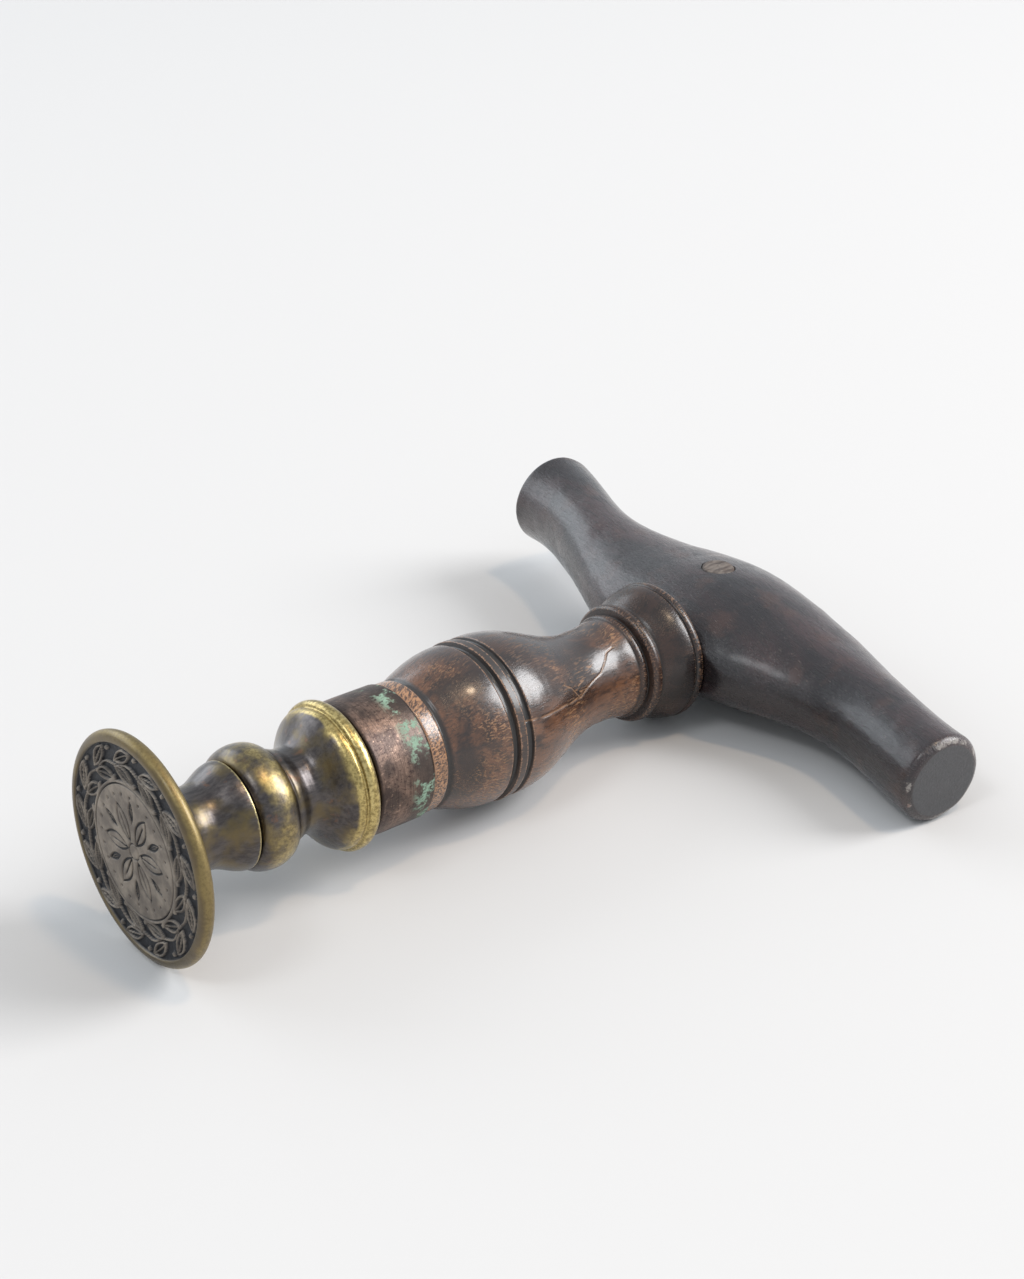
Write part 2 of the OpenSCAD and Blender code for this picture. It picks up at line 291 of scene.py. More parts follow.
class Shader:
    """One material's node tree, with coordinates in millimetres."""

    def __init__(self, name):
        self.material = bpy.data.materials.new(name)
        self.material.use_nodes = True
        self.tree = self.material.node_tree
        self.tree.nodes.clear()
        self.output = self.tree.nodes.new("ShaderNodeOutputMaterial")
        local = self.tree.nodes.new("ShaderNodeAttribute")
        local.attribute_name = "local"
        self.local_coords = local.outputs["Vector"]

    def link(self, value, socket):
        """Joins a node's output to a socket, or sets the socket to a plain value."""
        if isinstance(value, bpy.types.NodeSocket):
            self.tree.links.new(value, socket)
        else:
            socket.default_value = value

    def coords(self, stretch=(1, 1, 1), turn=(0, 0, 0)):
        """The piece's own coordinates in millimetres, turned and then multiplied by stretch."""
        node = self.tree.nodes.new("ShaderNodeMapping")
        self.tree.links.new(self.local_coords, node.inputs["Vector"])
        node.vector_type = "TEXTURE"
        node.inputs["Scale"].default_value = [1 / s for s in stretch]
        node.inputs["Rotation"].default_value = [math.radians(a) for a in turn]
        return node.outputs["Vector"]

    def polar(self):
        """(height, angle, radius) about the stem's axis: millimetres, turns, millimetres."""
        split = self.tree.nodes.new("ShaderNodeSeparateXYZ")
        self.tree.links.new(self.coords(), split.inputs[0])
        x, y, z = split.outputs
        radius = self.math("SQRT", self.math("ADD", self.math("MULTIPLY", y, y), self.math("MULTIPLY", z, z)))
        angle = self.math("DIVIDE", self.math("ARCTAN2", z, y), 2 * math.pi)
        return x, angle, radius

    def noise(self, size, stretch=(1, 1, 1), detail=4, rough=0.55, warp=0.0, turn=(0, 0, 0)):
        """Noise from 0 to 1, with features about size millimetres across. A small stretch draws them out."""
        node = self.tree.nodes.new("ShaderNodeTexNoise")
        self.tree.links.new(self.coords(stretch, turn), node.inputs["Vector"])
        node.inputs["Scale"].default_value = 1 / size
        node.inputs["Detail"].default_value = detail
        node.inputs["Roughness"].default_value = rough
        node.inputs["Distortion"].default_value = warp
        return node.outputs["Fac"]

    def attribute(self, name):
        """The number that the mesh carries at each point under this name."""
        node = self.tree.nodes.new("ShaderNodeAttribute")
        node.attribute_name = name
        return node.outputs["Fac"]

    def math(self, operation, a, b=0.0, clamp=False):
        node = self.tree.nodes.new("ShaderNodeMath")
        node.operation = operation
        node.use_clamp = clamp
        self.link(a, node.inputs[0])
        self.link(b, node.inputs[1])
        return node.outputs[0]

    def faded(self, mask, share):
        """The mask, weakened to a share of itself."""
        return self.math("MULTIPLY", mask, share)

    def swayed(self, value, noise, reach):
        """The value moved up and down by noise, over reach in all."""
        return self.math("ADD", value, self.math("MULTIPLY", self.math("SUBTRACT", noise, 0.5), reach))

    def step(self, value, low, high):
        """0 below low, 1 above high, smooth between. High may be the smaller."""
        node = self.tree.nodes.new("ShaderNodeMapRange")
        node.interpolation_type = "SMOOTHSTEP"
        self.link(value, node.inputs["Value"])
        flip = high < low
        node.inputs["From Min"].default_value = min(low, high)
        node.inputs["From Max"].default_value = max(low, high)
        node.inputs["To Min"].default_value = 1.0 if flip else 0.0
        node.inputs["To Max"].default_value = 0.0 if flip else 1.0
        return node.outputs["Result"]

    def within(self, value, start, full, fade, end):
        """1 from full to fade, 0 before start and after end, smooth between."""
        return self.all_of(self.step(value, start, full), self.step(value, end, fade))

    def all_of(self, *masks):
        """Where every mask is on."""
        result = masks[0]
        for m in masks[1:]:
            result = self.math("MULTIPLY", result, m, clamp=True)
        return result

    def any_of(self, *masks):
        """Where one mask or another is on."""
        result = masks[0]
        for m in masks[1:]:
            result = self.math("MAXIMUM", result, m, clamp=True)
        return result

    def mix(self, factor, a, b):
        """A colour between a and b."""
        node = self.tree.nodes.new("ShaderNodeMix")
        node.data_type = "RGBA"
        self.link(factor, node.inputs["Factor"])
        self.link(a, node.inputs[6])
        self.link(b, node.inputs[7])
        return node.outputs[2]

    def blend(self, factor, a, b):
        """A number between a and b."""
        node = self.tree.nodes.new("ShaderNodeMix")
        node.data_type = "FLOAT"
        self.link(factor, node.inputs["Factor"])
        self.link(a, node.inputs[2])
        self.link(b, node.inputs[3])
        return node.outputs[0]

    def bump(self, height, depth, below=None):
        """A surface normal from a height of 0 to 1 that stands for depth millimetres."""
        node = self.tree.nodes.new("ShaderNodeBump")
        node.inputs["Strength"].default_value = 1.0
        node.inputs["Distance"].default_value = depth * MM
        self.tree.links.new(height, node.inputs["Height"])
        if below:
            self.tree.links.new(below, node.inputs["Normal"])
        return node.outputs["Normal"]

    def surface(self, **inputs):
        """The finished material, from the Principled shader's inputs by name."""
        node = self.tree.nodes.new("ShaderNodeBsdfPrincipled")
        for key, value in inputs.items():
            self.link(value, node.inputs[key.replace("_", " ")])
        self.tree.links.new(node.outputs["BSDF"], self.output.inputs["Surface"])
        return self.material


# ---------------------------------------------------------------- materials

def old_brass():
    """Cast brass: grey-brown patina in the coves, olive-yellow wear on whatever stands proud."""
    s = Shader("old_brass")
    edge, crest, hollow = s.attribute("edge"), s.attribute("crest"), s.attribute("hollow")
    ink, field = s.attribute("ink"), s.attribute("field")
    broad = s.noise(4.5, detail=3)
    speck = s.noise(0.5, detail=6, rough=0.7)
    streak = s.noise(0.7, stretch=(0.22, 1, 1), detail=4, rough=0.65)
    rings = s.noise(0.35, stretch=(1.6, 0.15, 0.15), detail=3)
    height, _, _ = s.polar()
    patina = s.mix(s.step(streak, 0.3, 0.74), rgb(60, 55, 55), rgb(92, 86, 84))
    patina = s.mix(s.step(broad, 0.42, 0.68), patina, rgb(102, 88, 58))
    reddish = s.step(s.noise(1.9, detail=4), 0.62, 0.76)
    patina = s.mix(s.faded(reddish, 0.6), patina, rgb(124, 88, 66))
    olive = s.mix(s.step(speck, 0.36, 0.62), rgb(138, 120, 72), rgb(200, 178, 114))
    base = s.mix(s.step(s.swayed(crest, broad, 1.3), 0.25, 0.8), patina, olive)
    worn = s.swayed(edge, speck, 1.1)
    rim = s.step(height, RIM_H + 1.0, RIM_H)
    base = s.mix(s.faded(rim, 0.75), base, s.mix(broad, rgb(76, 64, 50), rgb(132, 114, 72)))
    polished = s.mix(rim, rgb(216, 199, 146), rgb(122, 108, 78))
    base = s.mix(s.faded(s.step(worn, 0.4, 0.95), 0.85), base, polished)
    base = s.mix(s.faded(s.step(hollow, 0.3, 1.0), 0.85), base, rgb(42, 36, 34))
    plate = s.mix(s.step(s.noise(2.6, detail=5), 0.35, 0.7), rgb(112, 104, 96), rgb(150, 140, 128))
    base = s.mix(field, base, plate)
    base = s.mix(ink, base, s.mix(s.step(speck, 0.4, 0.7), rgb(14, 16, 22), rgb(40, 42, 48)))
    metal = s.blend(ink, s.blend(field, 1.0, 0.75), 0.3)
    bare = s.step(worn, 0.3, 0.9)
    coat = s.blend(s.any_of(field, bare), 0.55, 0.0)
    rough = s.blend(bare, s.blend(streak, 0.24, 0.38), 0.3)
    rough = s.blend(s.any_of(field, rim), rough, 0.5)
    normal = s.bump(speck, 0.03, s.bump(streak, 0.025, s.bump(rings, 0.02)))
    return s.surface(Base_Color=base, Metallic=metal, Roughness=rough, Normal=normal,
                     Coat_Weight=coat, Coat_Roughness=0.26)


def copper_ferrule():
    """Dull copper alloy, with fine turning lines and green verdigris beside the wood."""
    s = Shader("copper_ferrule")
    height, _, _ = s.polar()
    speck = s.noise(0.42, stretch=(0.6, 1, 1), detail=6, rough=0.74)
    broad = s.noise(4.0, detail=3)
    lines = s.noise(0.35, stretch=(2.0, 0.12, 0.12), detail=3)
    base = s.mix(s.step(broad, 0.38, 0.64), rgb(84, 73, 68), rgb(138, 115, 102))
    base = s.mix(s.faded(s.step(lines, 0.46, 0.62), 0.5), base, rgb(70, 58, 56))
    base = s.mix(s.faded(s.step(speck, 0.52, 0.64), 0.8), base, rgb(58, 48, 48))
    base = s.mix(s.faded(s.step(speck, 0.42, 0.32), 0.6), base, rgb(198, 168, 146))
    near_wood = s.step(height, BAND_START - 4.4, BAND_START - 2.4)
    base = s.mix(s.faded(near_wood, 0.7), base, rgb(84, 76, 72))
    patch = s.step(s.noise(3.4, detail=5, rough=0.62), 0.51, 0.58)
    green = s.all_of(near_wood, patch, s.step(speck, 0.58, 0.5))
    base = s.mix(green, base, s.mix(speck, rgb(100, 124, 106), rgb(160, 190, 166)))
    dark_ends = s.any_of(s.step(height, STEM_START + 0.8, STEM_START + 0.1),
                         s.step(height, BAND_START - 0.5, BAND_START))
    base = s.mix(s.faded(dark_ends, 0.8), base, rgb(40, 35, 34))
    rough = s.blend(green, s.blend(speck, 0.3, 0.5), 0.85)
    metal = s.blend(green, 0.95, 0.0)
    normal = s.bump(speck, 0.04, s.bump(lines, 0.03))
    return s.surface(Base_Color=base, Metallic=metal, Roughness=rough, Normal=normal)


def stem_wood():
    """Turned hardwood: dark varnish over tan wood, worn through in fine dashes, with burnt grooves and
    painted shade on the barrel's upper side by them.
    """
    s = Shader("stem_wood")
    height, angle, _ = s.polar()
    edge, hollow = s.attribute("edge"), s.attribute("hollow")
    burnt, crack = s.attribute("burnt"), s.attribute("crack")
    fibre = s.noise(0.5, stretch=(0.2, 1, 1), detail=5, rough=0.68, turn=(0, 0, 12))
    dashes = s.noise(0.38, stretch=(0.2, 1.5, 1.5), detail=3, rough=0.6, turn=(0, 6, 16))
    broad = s.noise(9.0, stretch=(0.7, 1, 1), detail=3, warp=0.6)
    stain = s.noise(4.5, stretch=(0.6, 1, 1), detail=6, rough=0.66, warp=0.4)
    base = s.mix(s.step(broad, 0.38, 0.62), rgb(48, 34, 28), rgb(104, 70, 49))
    base = s.mix(s.faded(s.step(fibre, 0.47, 0.62), 0.7), base, rgb(36, 27, 24))
    base = s.mix(s.faded(s.step(stain, 0.52, 0.66), 0.8), base, rgb(32, 27, 27))
    # painted shade: the barrel's upper side round and past the grooves is darkened, and shows less wear there
    reach = s.swayed(height, broad, 14)
    shoulder_shade = s.all_of(s.within(reach, BARREL_START + 4, BARREL_START + 9, BARREL_START + 19, BARREL_START + 25),
                    s.within(angle, 0.02, 0.16, 0.37, 0.44))
    base = s.mix(s.faded(shoulder_shade, 0.75), base, rgb(32, 27, 28))
    worn_area = s.step(s.noise(8.0, detail=3), 0.42, 0.62)
    worn = s.all_of(worn_area, s.step(dashes, 0.52, 0.62))
    base = s.mix(s.faded(worn, s.blend(shoulder_shade, 0.65, 0.2)), base, rgb(160, 118, 80))
    band = s.within(height, BAND_START - 0.2, BAND_START + 0.1, BARREL_START - 0.6, BARREL_START - 0.1)
    slant = s.noise(0.42, stretch=(0.25, 1.4, 1.4), detail=4, rough=0.65, turn=(0, 0, 38))
    band_wood = s.mix(s.step(slant, 0.42, 0.58), rgb(160, 118, 84), rgb(66, 46, 36))
    base = s.mix(s.faded(band, s.step(stain, 0.72, 0.5)), base, band_wood)
    collar = s.step(height, COLLAR_START - 0.8, COLLAR_START + 0.5)
    black = s.mix(s.step(stain, 0.4, 0.7), rgb(22, 18, 18), rgb(52, 36, 31))
    base = s.mix(s.faded(collar, 0.85), base, black)
    base = s.mix(s.faded(hollow, 0.9), base, rgb(24, 21, 20))
    base = s.mix(burnt, base, s.mix(fibre, rgb(16, 15, 15), rgb(44, 38, 35)))
    rubbed = s.step(s.swayed(edge, dashes, 1.8), 0.62, 1.0)
    worn_edge = s.faded(rubbed, s.blend(collar, 0.8, 0.5))
    base = s.mix(worn_edge, base, s.mix(stain, rgb(176, 136, 104), rgb(120, 86, 68)))
    base = s.mix(s.faded(crack, 0.7), base, rgb(166, 124, 88))
    rough = s.blend(s.any_of(worn, hollow), s.blend(stain, 0.2, 0.34), 0.5)
    rough = s.blend(s.any_of(burnt, crack), rough, 0.6)
    grain = s.blend(0.5, fibre, dashes)
    normal = s.bump(grain, 0.07, s.bump(stain, 0.06))
    return s.surface(Base_Color=base, Roughness=rough, Normal=normal,
                     Coat_Weight=s.blend(collar, 0.6, 0.2), Coat_Roughness=0.18)


def handle_wood():
    """Near-black stained hardwood, satin from the hand, scratched along its length and worn at the ends."""
    s = Shader("handle_wood")
    fibre = s.noise(0.45, stretch=(1, 0.12, 1), detail=5, rough=0.7)
    pores = s.noise(0.36, stretch=(1, 0.35, 1), detail=4, rough=0.72)
    broad = s.noise(9.0, stretch=(1, 0.5, 1), detail=3, warp=0.5)
    wear, flat_end = s.attribute("edge"), s.attribute("end")
    red = s.step(s.noise(6.0, detail=4), 0.52, 0.68)
    base = s.mix(s.step(broad, 0.36, 0.66), rgb(26, 21, 24), rgb(54, 38, 39))
    base = s.mix(s.faded(s.step(fibre, 0.46, 0.62), 0.6), base, rgb(22, 20, 21))
    base = s.mix(s.faded(red, 0.4), base, rgb(74, 50, 42))
    base = s.mix(s.faded(s.step(pores, 0.62, 0.7), 0.5), base, rgb(112, 100, 94))
    base = s.mix(s.faded(flat_end, 0.85), base, s.mix(pores, rgb(40, 41, 43), rgb(78, 78, 80)))
    patchy = s.faded(wear, s.step(s.noise(5.0, detail=3), 0.42, 0.6))
    worn = s.step(s.swayed(patchy, pores, 2.0), 0.55, 1.05)
    base = s.mix(s.faded(worn, 0.8), base, s.mix(red, rgb(148, 142, 136), rgb(122, 70, 48)))
    rough = s.blend(s.step(fibre, 0.4, 0.62), 0.16, 0.32)
    rough = s.blend(flat_end, rough, 0.6)
    normal = s.bump(fibre, 0.11, s.bump(pores, 0.1, s.bump(broad, 0.4)))
    return s.surface(Base_Color=base, Roughness=rough, Normal=normal, Coat_Weight=0.45, Coat_Roughness=0.2)


def peg_wood():
    """End grain of a round peg, greyer than the handle."""
    s = Shader("peg_wood")
    grain = s.noise(0.5, stretch=(1, 1, 0.2), detail=5, rough=0.7)
    broad = s.noise(2.2, detail=3)
    base = s.mix(s.step(grain, 0.4, 0.62), rgb(112, 103, 96), rgb(64, 56, 52))
    base = s.mix(s.step(broad, 0.5, 0.7), base, rgb(70, 54, 44))
    normal = s.bump(grain, 0.08)
    return s.surface(Base_Color=base, Roughness=0.62, Normal=normal)


def pressed_leather():
    """Dark pressed leather, fibrous at the edge."""
    s = Shader("pressed_leather")
    fibre = s.noise(0.3, stretch=(1.6, 0.6, 0.6), detail=5, rough=0.7)
    base = s.mix(fibre, rgb(26, 21, 18), rgb(58, 44, 36))
    return s.surface(Base_Color=base, Roughness=0.8, Normal=s.bump(fibre, 0.08))


def oiled_steel():
    """Dark oiled steel, brighter on the thread's crests."""
    s = Shader("oiled_steel")
    _, _, radius = s.polar()
    grime = s.noise(1.2, detail=5, rough=0.65)
    crest = s.step(radius, TANG_R - 0.3, TANG_R - 0.05)
    base = s.mix(s.step(grime, 0.4, 0.65), rgb(96, 94, 94), rgb(58, 50, 46))
    base = s.mix(s.faded(crest, 0.8), base, rgb(160, 158, 156))
    rough = s.blend(grime, 0.28, 0.5)
    return s.surface(Base_Color=base, Metallic=1.0, Roughness=rough, Normal=s.bump(grime, 0.02))


# ---------------------------------------------------------------- seal head

def leaf(x, y, cx, cy, half_length, half_width, tilt):
    """How far (x, y) is inside a pointed leaf, in millimetres, and its place along and across it."""
    c, s = math.cos(tilt), math.sin(tilt)
    u, v = (x - cx) * c + (y - cy) * s, -(x - cx) * s + (y - cy) * c
    width = half_width * np.clip(1 - (u / half_length) ** 2, 0, 1)
    return np.where(np.abs(u) < half_length, width - np.abs(v), -1), u, v


def face_relief(radius, angle):
    """Depth below the face and the blackened share, for a wreath of leaves round a rosette."""
    ground, cut = 0.42, 0.26
    # the wreath: pairs of outlined, veined leaves with berries between them, along a thin stalk
    repeats, middle = 13, 12.35
    period = 2 * math.pi / repeats
    local = (angle + period / 2) % period - period / 2
    x, y = radius * local, radius - middle
    raised = line(y - 0.25 * np.sin(local / period * 2 * math.pi), 0.2)
    for side in (1, -1):
        inside, _, v = leaf(x, y, 0.25, side * 1.3, 2.5, 1.0, side * 0.42)
        raised = np.where(inside > 0, 0, raised)
        outline = line(inside - 0.2, 0.22)
        vein = ramp(0.15 - np.abs(v), 0, 0.1) * ramp(inside, 0.3, 0.4)
        raised = np.maximum(raised, np.maximum(outline, vein))
        berry = 0.42 - np.hypot(np.abs(x) - radius * period / 2, y - side * 2.0)
        raised = np.maximum(raised, ramp(berry, 0, 0.14))
    # a thin line that closes the wreath in
    raised = np.maximum(raised, line(radius - CENTRE_R - 0.6, 0.24))
    in_wreath = span(radius, CENTRE_R + 0.15, CENTRE_R + 0.3, FIELD_R, FIELD_R + 0.2)
    depth = ground * (1 - raised) * in_wreath
    # the rosette, cut into the polished centre: petals, sepals between them, and a ring of dots
    for petals, reach, centre, half_width, shift in ((6, 2.9, 4.2, 1.25, 0), (6, 1.7, 5.9, 0.55, 0.5)):
        step = 2 * math.pi / petals
        local = (angle + step * shift + step / 2) % step - step / 2
        px, py = radius * np.cos(local) - centre, radius * np.sin(local)
        inside, u, v = leaf(px, py, 0, 0, reach, half_width, 0)
        outline = line(inside - 0.16, 0.24)
        vein = ramp(0.2 - np.abs(v), 0, 0.1) * ramp(inside, 0.1, 0.3) * ramp(u, 0.6 * reach, 0.2 * reach)
        depth = np.maximum(depth, cut * np.maximum(outline, vein))
    dots = 24
    local = (angle + math.pi / dots) % (2 * math.pi / dots) - math.pi / dots
    dot = 0.3 - np.hypot(radius * local, radius - 8.1)
    depth = np.maximum(depth, 0.22 * ramp(dot, 0, 0.14))
    button = ramp(0.16 - np.abs(radius - 1.15), 0, 0.1)
    depth = np.maximum(depth, 0.25 * button)
    # old ink fills whatever is cut
    black = ramp(depth, 0.08, 0.24)
    return depth, black


def seal_head():
    ridge_h, bead_end = 14.8, 21.4
    flat_r, flat_rings = DISC_R - 1.1, 137
    rim = even_steps(bead(0, RIM_H, flat_r, DISC_R)[1:], 0.12)
    face_outline = np.stack([np.zeros(flat_rings), np.linspace(0, flat_r, flat_rings)], 1)
    back = ([(RIM_H + 0.1, FIELD_R + 0.2), (RIM_H + 0.75, FIELD_R - 1.1)] + cove(3.1, 12.5, 8.8, SHANK_R)
            + sway(9.4, SHANK_R, ridge_h, RIDGE_R) + [(ridge_h + 0.25, RIDGE_R - 0.5)]
            + bead(ridge_h + 0.3, bead_end, RIDGE_R - 0.6, BEAD_R) + [(bead_end + 0.3, RIDGE_R - 0.9)]
            + sway(bead_end + 0.5, RIDGE_R - 0.8, 24.4, NECK_R) + sway(25.2, NECK_R, 30.2, CUP_R - 0.7)
            + [(30.45, CUP_R - 0.8)] + bead(30.6, HEAD_H, CUP_R - 0.6, CUP_R)
            + [(HEAD_H, TANG_R + TANG_GAP), (HEAD_H - TANG_ROOT, TANG_R + TANG_GAP), (HEAD_H - TANG_ROOT, 0)])
    sharp = even_steps([tuple(p) for p in rim] + back, 0.2)
    points = np.concatenate([face_outline, soften(sharp, 0.14)])
    verts, faces, index, angle = lathe(points, 480)
    on_face = index < flat_rings
    # how far each point stands proud of the metal within about 1 mm and within about 7 mm of it
    relief, shape = (np.concatenate([np.zeros(flat_rings), outward_relief(sharp, width)])[index]
                     for width in (1.2, 7.0))
    height, radius = verts[:, 0].copy(), points[index, 1]
    depth, black = face_relief(radius, angle)
    uneven = 0.003 * np.minimum(ripple(height, angle, seed=3), 0) * ~on_face
    verts[:, 0] += np.where(on_face, depth, 0)
    verts[:, 1:] *= (1 + uneven)[:, None]
    # the lip of the cup is worn as a crest is, and the line below it is darkened less than other hollows
    attributes = {
        "edge": np.clip(relief / 0.16, 0, 1),
        "crest": np.maximum(np.clip(shape / 1.2, 0, 1), ramp(height, 28.6, 29.8)),
        "hollow": np.clip(-relief / 0.16, 0, 1) * ramp(height, 30.8, 29.6).clip(0.45, 1),
        "ink": np.where(on_face, black, 0),
        "field": np.where(on_face, ramp(radius, FIELD_R + 0.2, FIELD_R), 0),
    }
    new_piece("seal_head_brass", verts, faces, attributes, old_brass(), "head", "seal_head")


def seal_tang():
    """A true helical thread, right-handed, on a plain shank."""
    around, step, depth = 64, 0.06, 0.6
    heights = np.arange(HEAD_H - TANG_ROOT, STEM_START + TANG_REACH, step)
    angle = np.linspace(0, 2 * math.pi, around, endpoint=False)
    h, a = np.meshgrid(heights, angle, indexing="ij")
    phase = (h / PITCH - a / (2 * math.pi)) % 1
    cut = ramp(0.42 - np.abs(phase - 0.5), 0, 0.36) * depth
    start, end = STEM_START + 0.8, heights[-1] - 0.4
    r = TANG_R - 0.01 - cut * ramp(h, start, start + 0.6) - 0.5 * ramp(h, end - 0.5, heights[-1])
    verts = np.stack([h, r * np.cos(a), r * np.sin(a)], -1).reshape(-1, 3)
    ends = [list(range(around))[::-1], list(range(len(verts) - around, len(verts)))]
    faces = tube_faces(len(heights), around) + ends
    new_piece("seal_tang_steel", verts, faces, {}, oiled_steel(), "head", "seal_tang")


def washer():
    r0, r1, top = TANG_R + 0.3, WASHER_R, HEAD_H + WASHER_H
    outline = [(HEAD_H, r0), (top, r0), (top, r1 - 0.15)] + bead(top - 0.02, HEAD_H + 0.02, r1 - 0.15, r1, 8)
    points = even_steps(outline + [(HEAD_H, r1 - 0.15), (HEAD_H, r0)], 0.2)
    verts, faces, _, angle = lathe(points, 160)
    verts[:, 1:] *= (1 - 0.006 * (1 + ripple(verts[:, 0], angle, seed=11)))[:, None].clip(0.98, 1)
    new_piece("washer_leather", verts, faces, {}, pressed_leather(), "washer", "washer")


# ---------------------------------------------------------------- stem

def ferrule():
    r1, r0, end = FERRULE_R, FERRULE_R - FERRULE_WALL, STEM_START + FERRULE_H
    outline = ([(STEM_START, r0), (STEM_START, r1 - 0.3), (STEM_START + 0.1, r1 - 0.1)]
               + [(STEM_START + 0.3, r1)]
               + [(end - 0.25, r1), (end - 0.05, r1 - 0.12), (end, r1 - 0.3), (end, r0), (STEM_START, r0)])
    points = even_steps(outline, 0.2)
    verts, faces, _, angle = lathe(points, 256)
    dents = 0.003 * ripple(verts[:, 0], angle, seed=21)
    verts[:, 1:] *= (1 + np.minimum(dents, 0))[:, None]
    new_piece("ferrule_copper", verts, faces, {}, copper_ferrule(), "grip", "ferrule")


CRACKS = (  # (height, degrees up from the side that faces -Y) along each crack
    ((57.5, 20), (61, 19), (65, 19), (71, 17), (74, 24), (77, 31), (78.5, 42), (79.5, 51), (81, 54)),
    ((70.6, 18), (69, 29), (67.5, 33)),
)


def crack_mask(height, angle, radius):
    """1 on the cracks, 0 away from them."""
    mask = np.zeros_like(height)
    for path in CRACKS:
        for (h0, up0), (h1, up1) in zip(path, path[1:]):
            a0, a1 = np.radians(180 - up0), np.radians(180 - up1)
            x, y = height - h0, ((angle - a0 + math.pi) % (2 * math.pi) - math.pi) * radius
            dx, dy = h1 - h0, (a1 - a0) * radius
            t = np.clip((x * dx + y * dy) / (dx ** 2 + dy ** 2), 0, 1)
            distance = np.hypot(x - t * dx, y - t * dy)
            mask = np.maximum(mask, ramp(0.11 - distance, 0, 0.09))
    return mask


def groove(start, radius):
    """A burnt groove with a flat floor, cut from a surface of that radius."""
    end, floor_r = start + GROOVE_W, radius - 0.6
    return [(start, radius), (start + 0.25, floor_r), (end - 0.25, floor_r), (end, radius)]


def stem():
    spigot_r = FERRULE_R - FERRULE_WALL - 0.04
    bore_r, bore_end = TANG_R + TANG_GAP, STEM_START + TANG_REACH + 1.5
    first, second = GROOVES
    collar, end = COLLAR_START, COLLAR_END
    outline = ([(bore_end, 0), (bore_end, bore_r), (STEM_START, bore_r), (STEM_START, spigot_r)]
               + [(BAND_START + 0.04, spigot_r), (BAND_START + 0.04, BAND_R - 0.1)]
               + [(BAND_START + 0.2, BAND_R)]
               + [(BARREL_START - 0.6, BAND_R), (BARREL_START - 0.1, BAND_R - 0.5)]
               + [(BARREL_START + 0.3, BAND_R - 0.3)]
               + swell(BARREL_START + 0.6, BAND_R, first, BARREL_R - 0.2) + groove(first, BARREL_R - 0.2)
               + [(first + GROOVE_W + 0.05, BARREL_R), (second - 0.05, BARREL_R)] + groove(second, BARREL_R)
               + [(second + GROOVE_W + 0.1, BARREL_R - 0.02)]
               + sway(second + 2.4, BARREL_R, WAIST_AT - 2, WAIST_R, 40)
               + sway(WAIST_AT, WAIST_R, collar, COLLAR_SMALL_R - 0.4)
               + bead(collar, collar + 1.3, COLLAR_SMALL_R - 0.4, COLLAR_SMALL_R)
               + [(collar + 1.45, COLLAR_SMALL_R - 0.3)]
               + bead(collar + 1.6, collar + 3.4, COLLAR_MID_R - 0.7, COLLAR_MID_R)
               + [(collar + 3.8, COLLAR_MID_R - 0.9)]
               + swell(collar + 4.2, COLLAR_MID_R - 0.5, end - 1.7, COLLAR_LARGE_R - 0.2)
               + [(end - 1.5, COLLAR_LARGE_R - 0.5)]
               + bead(end - 1.4, end - 0.05, COLLAR_LARGE_R - 0.4, COLLAR_LARGE_R)
               + [(end, COLLAR_LARGE_R - 0.5), (end, TENON_R)]
               + [(TENON_END - 0.6, TENON_R), (TENON_END, TENON_R - 0.6), (TENON_END, 0)])
    sharp = even_steps(outline, 0.2)
    points = soften(sharp, 0.16)
    verts, faces, index, angle = lathe(points, 384)
    proud = outward_relief(sharp)[index]
    height, radius = verts[:, 0].copy(), points[index, 1]
    outside = (radius > 6) & (height > BAND_START)
    crack = crack_mask(height, angle, radius) * outside
    uneven = 0.004 * ripple(height, angle, longest=20, seed=31)
    verts[:, 1:] *= (1 + np.minimum(uneven, 0) * outside - 0.15 * crack / np.maximum(radius, 1))[:, None]
    # burnt black in the two grooves, scorched between and beside them, and dark in the seam by the band
    burnt = 0.72 * span(height, first - 0.1, first + 0.4, second + 0.8, second + 1.8)
    for start in GROOVES:
        in_groove = span(height, start - 0.1, start + 0.2, start + GROOVE_W - 0.2, start + GROOVE_W + 0.1)
        burnt = np.maximum(burnt, in_groove)
    seam = span(height, BARREL_START - 0.7, BARREL_START - 0.2, BARREL_START + 0.3, BARREL_START + 0.9)
    attributes = {
        "edge": np.clip(proud / 0.14, 0, 1) * outside,
        "hollow": np.clip(-proud / 0.14, 0, 1),
        "burnt": np.maximum(burnt, 0.9 * seam),
        "crack": crack,
    }
    piece = new_piece("stem_wood", verts, faces, attributes, stem_wood(), "grip", "stem")
    bore(piece, PEG_R + 0.04, 4 * TENON_R, PEG)


# ---------------------------------------------------------------- handle

def bow_at(y):
    """How far the centre line is bent along the stem, away from the seal."""
    points = ((-LOW_ARM, 0.2), (-30, 2.4), (-4, -0.6), (25, -2.4), (HIGH_ARM, 1.6))
    offset = np.full(np.shape(y), points[0][1])
    for (start, a), (end, b) in zip(points, points[1:]):
        t = np.clip((y - start) / (end - start), 0, 1)
        offset = offset + (b - a) * (1 - np.cos(math.pi * t)) / 2
    return offset


def arm_at(y):
    """Radius of the arms without the belly, which flare towards their ends."""
    return ARM_R + (np.where(y > 0, HIGH_END_R, LOW_END_R) - ARM_R) * (np.abs(y) / LOW_ARM) ** 5


def depth_at(y):
    """Half the handle's depth along the stem."""
    return arm_at(y) + (BELLY_DEPTH - ARM_R) * np.exp(-(np.abs(y + 1) / 24.5) ** 3)


def rise_at(y):
    """How far the handle rises above its centre line."""
    return arm_at(y) + (BELLY_RISE - ARM_R) * np.exp(-((y + 2.5) / 15.5) ** 2)


